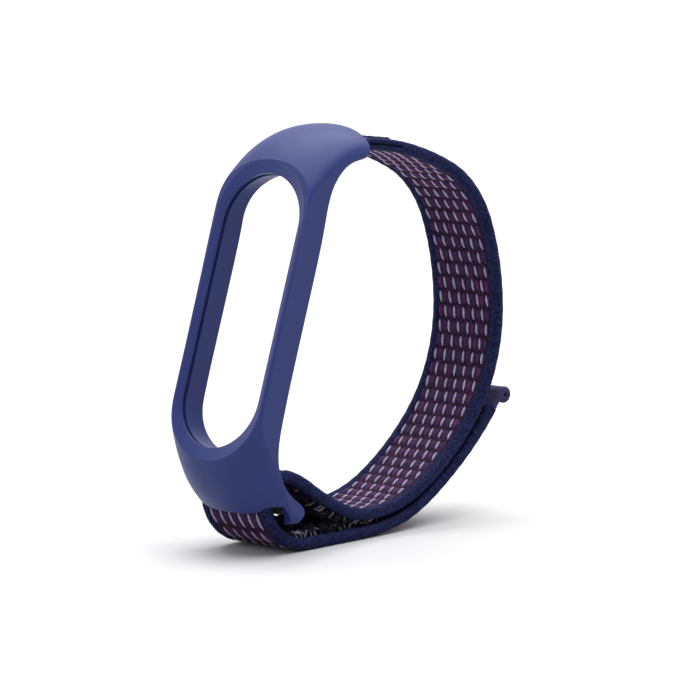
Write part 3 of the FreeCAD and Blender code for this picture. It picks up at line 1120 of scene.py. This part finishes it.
@dataclass
class HookPatch:
    """Hook tape sewn on the inner face of the tail, in one length per tail body.

    Attributes:
        strap: The strap it is sewn to.
        numbers: Tail bodies that carry it.
        width: Width of the tape, millimetres.
        thickness: Thickness of its backing.
        gap: Distance that each length keeps from its neighbour's end.
        rows: Rows of hooks in one length.
        row_pitch: Distance between two rows.
        columns: Hooks in a row.
        column_pitch: Distance between two hooks in a row.
        margin: Distance of the first and of the last row from the length's ends.
        hook_radius: Radius of a hook's head.
        hook_height: Half the height of its head.
        hook_lift: Height of its head's centre over the backing.
    """

    strap: Strap
    numbers: tuple[int, ...] = (3, 4, 5)
    width: float = 10.4
    thickness: float = 0.5
    gap: float = 0.03
    rows: int = 11
    row_pitch: float = 0.54
    columns: int = 18
    column_pitch: float = 0.55
    margin: tuple[float, float] = (0.3, 0.2)
    hook_radius: float = 0.14
    hook_height: float = 0.16
    hook_lift: float = 0.1

    def backing(self, tape: Builder, start: float, stop: float) -> None:
        """Add one length of the backing, a flat tube with rounded edges.

        Args:
            tape: Mesh to add to.
            start: Distance along where it starts.
            stop: Distance along where it stops.
        """
        web = self.strap.web
        side_power, face_power = 0.2, 0.35

        def shell(u: float, w: float) -> Vector:
            """Return the point at a share along and a share round the tube."""
            across, up = math.cos(TURN * w), math.sin(TURN * w)
            x = math.copysign(abs(across) ** side_power, across) * self.width / 2
            h = math.copysign(abs(up) ** face_power, up) / 2 + 0.5
            return web.at(start + self.gap + (stop - start - 2 * self.gap) * u, x,
                          web.middle / 2 + h * self.thickness)

        tape.grid(rows=14, columns=24, place=shell, weld=True, capped=True)

    def hook(self, tape: Builder, along: float, across: float) -> None:
        """Add the head of one hook.

        Args:
            tape: Mesh to add to.
            along: Its distance along.
            across: Its distance across.
        """
        web = self.strap.web

        def head(p: Vector) -> Vector:
            """Return the place of a point of the unit ball."""
            return web.at(along + self.hook_radius * p.x, across + self.hook_radius * p.y,
                          web.middle / 2 + self.thickness + self.hook_lift
                          + self.hook_height * p.z)

        tape.bead(head, around=5, along=4)

    def build(self) -> None:
        """Build each length with its hooks."""
        layout = self.strap.layout
        first, last = self.margin
        for number in self.numbers:
            start = layout.tail_start + layout.tail_pitch * (number - 1)
            stop = start + layout.tail_pitch
            tape = Builder(f"hook_tape_{number}", self.strap.palette.hook)
            self.backing(tape, start, stop)
            for row in range(self.rows):
                for column in range(self.columns):
                    along = start + first + row * self.row_pitch
                    along += self.row_pitch / 2 * (column % 2)
                    if along <= stop - last:
                        self.hook(tape, along,
                                  (column - (self.columns - 1) / 2) * self.column_pitch)
            piece = tape.finish()
            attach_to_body(piece, f"tail_{number}")
            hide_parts(f"hook_patch_{number}")


@dataclass
class PullTab:
    """Rolled bead of webbing at the end of the tail.

    Attributes:
        strap: The strap it ends.
        reach: Distance from the tail's end to the bead's centre, millimetres.
        radius: Radius of the bead.
        flat: Share of the roll that is the straight tongue.
        tucked: Length of the tongue's start inside the tail's end.
        turns: Turns of the spiral.
        tape: Radius that the tape itself takes up.
        closing: How far the spiral closes.
    """

    strap: Strap
    reach: float = 3.25
    radius: float = 1.8
    flat: float = 0.22
    tucked: float = 0.4
    turns: float = 1.25
    tape: float = 0.6
    closing: float = 0.8

    def outline(self, share: float) -> tuple[float, float]:
        """Follow the spiral roll: along the tongue, round the bead and in.

        Args:
            share: Share of the whole roll.

        Returns:
            Distances along the tail and off it.
        """
        if share < self.flat:
            part = share / self.flat
            return self.reach * share / self.flat - self.tucked * (1 - part), 0.0
        rolled, whole = share - self.flat, 1 - self.flat
        turn = rolled / whole * self.turns * TURN
        swell = self.radius - self.tape - self.closing * rolled / whole
        return self.reach + swell * math.sin(turn), -swell + swell * math.cos(turn)

    def build(self) -> None:
        """Build the tongue and the rolled bead as one soft piece."""
        web, layout = self.strap.web, self.strap.layout
        y, z, angle = web.trail.spot(layout.end)
        points, steps = [], 120
        for i in range(steps + 1):
            along, side = self.outline(i / steps)
            points.append((y + along * math.cos(angle) - side * math.sin(angle),
                           z + along * math.sin(angle) + side * math.cos(angle)))
        roll = Webbing(Trail(points), web.plane, width=web.width, middle=1.1, rim=1.2,
                       rim_width=1.2)
        build = Builder("pull_tab_roll", self.strap.palette.tab)
        roll.ground(build, 0.0, roll.trail.length)
        piece = build.finish()
        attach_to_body(piece, f"tail_{layout.tail_count}")
        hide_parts("pull_tab")


@dataclass
class Hardware:
    """Case frame, spring bars and stitching, which keep their CAD shapes."""

    palette: Palette

    def build(self) -> None:
        """Give each CAD node its material."""
        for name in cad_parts:
            node = bpy.data.objects.get(name)
            if node is None or node.type != "MESH":
                continue
            if name == "case_frame":
                chosen = self.palette.case
            elif "bar_" in name:
                chosen = self.palette.steel
            elif "stitching" in name:
                chosen = self.palette.thread
            else:
                chosen = self.palette.dark
            for slot in node.material_slots:
                slot.material = chosen
            LOG.info("%s: %s", name, chosen.name)


@dataclass(frozen=True)
class Lamp:
    """Soft square light that faces the band.

    Attributes:
        name: Name of the light.
        place: Its place from the band's centre, metres.
        size: Side of the square, metres.
        power: Power, watts.
    """

    name: str
    place: tuple[float, float, float]
    size: float
    power: float


@dataclass
class Studio:
    """White seamless sweep, soft lights and the camera.

    Attributes:
        window: Centre of the case window's front in the frame's metres.
        eye: Camera's place from there, metres.
        yaw: Camera's direction round Z, degrees.
        pitch: Camera's direction above the horizon, degrees.
        lens: Focal length on a sensor of the sensor's width, millimetres.
        sensor: Width of the sensor.
        reach: Nearest and farthest distance that the camera sees, metres.
        target: Band's centre, which the lamps face.
        lamps: The soft square lights.
        sun: Irradiance of the broad light overhead, watts per square metre.
        sun_from: Direction from the band to it.
        sun_spread: Its angular width, degrees.
        sky: Strength of the surroundings' light on the band.
        floor_side: Side of the floor, metres.
        floor_drop: How far the floor lies under the frame's zero, metres.
    """

    window: Vector
    eye: tuple[float, float, float] = (0.49743, -0.53343, 0.093905)
    yaw: float = 41.562
    pitch: float = 7.856
    lens: float = 231.43
    sensor: float = 36.0
    reach: tuple[float, float] = (0.05, 20.0)
    target: tuple[float, float, float] = (0.0, 0.0, 0.035)
    lamps: tuple[Lamp, ...] = (Lamp("left", (-0.6, -0.25, 0.2), 0.4, 1.0),
                               Lamp("front", (0.35, -0.6, 0.35), 0.3, 0.35))
    sun: float = 4.8
    sun_from: tuple[float, float, float] = (-0.03, 0.2, 1.0)
    sun_spread: float = 80.0
    sky: float = 0.36
    floor_side: float = 12.0
    floor_drop: float = 0.12 * MM

    def camera(self) -> None:
        """Place the camera."""
        data = bpy.data.cameras.new("camera")
        data.lens, data.sensor_width = self.lens, self.sensor
        data.clip_start, data.clip_end = self.reach
        camera = bpy.data.objects.new("camera", data)
        bpy.context.scene.collection.objects.link(camera)
        camera.location = self.window + Vector(self.eye)
        camera.rotation_euler = (math.radians(90 - self.pitch), 0.0, math.radians(self.yaw))
        bpy.context.scene.camera = camera

    def light(self, data: bpy.types.Light, towards: Vector) -> bpy.types.Object:
        """Add a light that faces the band.

        Args:
            data: The light.
            towards: Direction from the band to it.

        Returns:
            The light's object.
        """
        light = bpy.data.objects.new(data.name, data)
        bpy.context.scene.collection.objects.link(light)
        light.rotation_euler = (-towards).to_track_quat("-Z", "Y").to_euler()
        return light

    def lights(self) -> None:
        """Add the broad even light overhead and the soft square lamps."""
        data = bpy.data.lights.new("overhead", "SUN")
        data.energy, data.angle = self.sun, math.radians(self.sun_spread)
        self.light(data, Vector(self.sun_from))
        for lamp in self.lamps:
            data = bpy.data.lights.new(lamp.name, "AREA")
            data.shape, data.size, data.energy = "SQUARE", lamp.size, lamp.power
            place = Vector(lamp.place)
            self.light(data, place).location = Vector(self.target) + place

    def floor(self) -> None:
        """Add the white floor."""
        sheet = Builder("floor", Skin("sweep").finish(Base_Color=(0.6, 0.6, 0.605, 1.0),
                                                      Roughness=0.6,
                                                      Specular_IOR_Level=0.2))
        sheet.grid(rows=1, columns=1,
                   place=lambda u, w: Vector(((u - 0.5) * self.floor_side,
                                              (w - 0.5) * self.floor_side,
                                              -self.floor_drop)))
        sheet.finish()

    def surroundings(self) -> bpy.types.World:
        """Return the even surroundings, which look white where they are seen."""
        world = bpy.data.worlds.new("studio")
        world.use_nodes = True
        nodes = Nodes(world.node_tree)
        ray = nodes.add("ShaderNodeLightPath").outputs
        mirrored = nodes.maths("ADD", ray["Is Glossy Ray"], ray["Is Transmission Ray"])
        seen = nodes.maths("ADD", ray["Is Camera Ray"], mirrored)
        nodes.feed(world.node_tree.nodes["Background"], Color=(1.0, 1.0, 1.0, 1.0),
                   Strength=nodes.maths("MAXIMUM", seen, self.sky))
        return world

    def build(self) -> None:
        """Set up the camera, the floor, the surroundings and the lights."""
        self.camera()
        self.floor()
        bpy.context.scene.world = self.surroundings()
        self.lights()
        bpy.context.scene.view_settings.view_transform = "Standard"


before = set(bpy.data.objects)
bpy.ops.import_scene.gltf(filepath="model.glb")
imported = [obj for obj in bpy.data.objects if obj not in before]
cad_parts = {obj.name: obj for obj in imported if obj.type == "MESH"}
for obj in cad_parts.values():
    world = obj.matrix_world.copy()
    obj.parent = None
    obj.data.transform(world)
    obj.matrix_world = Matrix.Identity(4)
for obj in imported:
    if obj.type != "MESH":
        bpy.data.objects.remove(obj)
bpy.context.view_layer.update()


def main() -> None:
    """Build every piece in order."""
    logging.basicConfig(level=logging.INFO)
    palette = Palette.mixed()
    strap = Strap(Layout(), palette)
    studio = Studio(strap.plane.point(0.0, 0.0, 0.0))
    for assembly in (Hardware(palette), strap, HookPatch(strap), PullTab(strap), studio):
        assembly.build()
        LOG.info("built: %s", type(assembly).__name__)


if __name__ == "__main__":
    main()
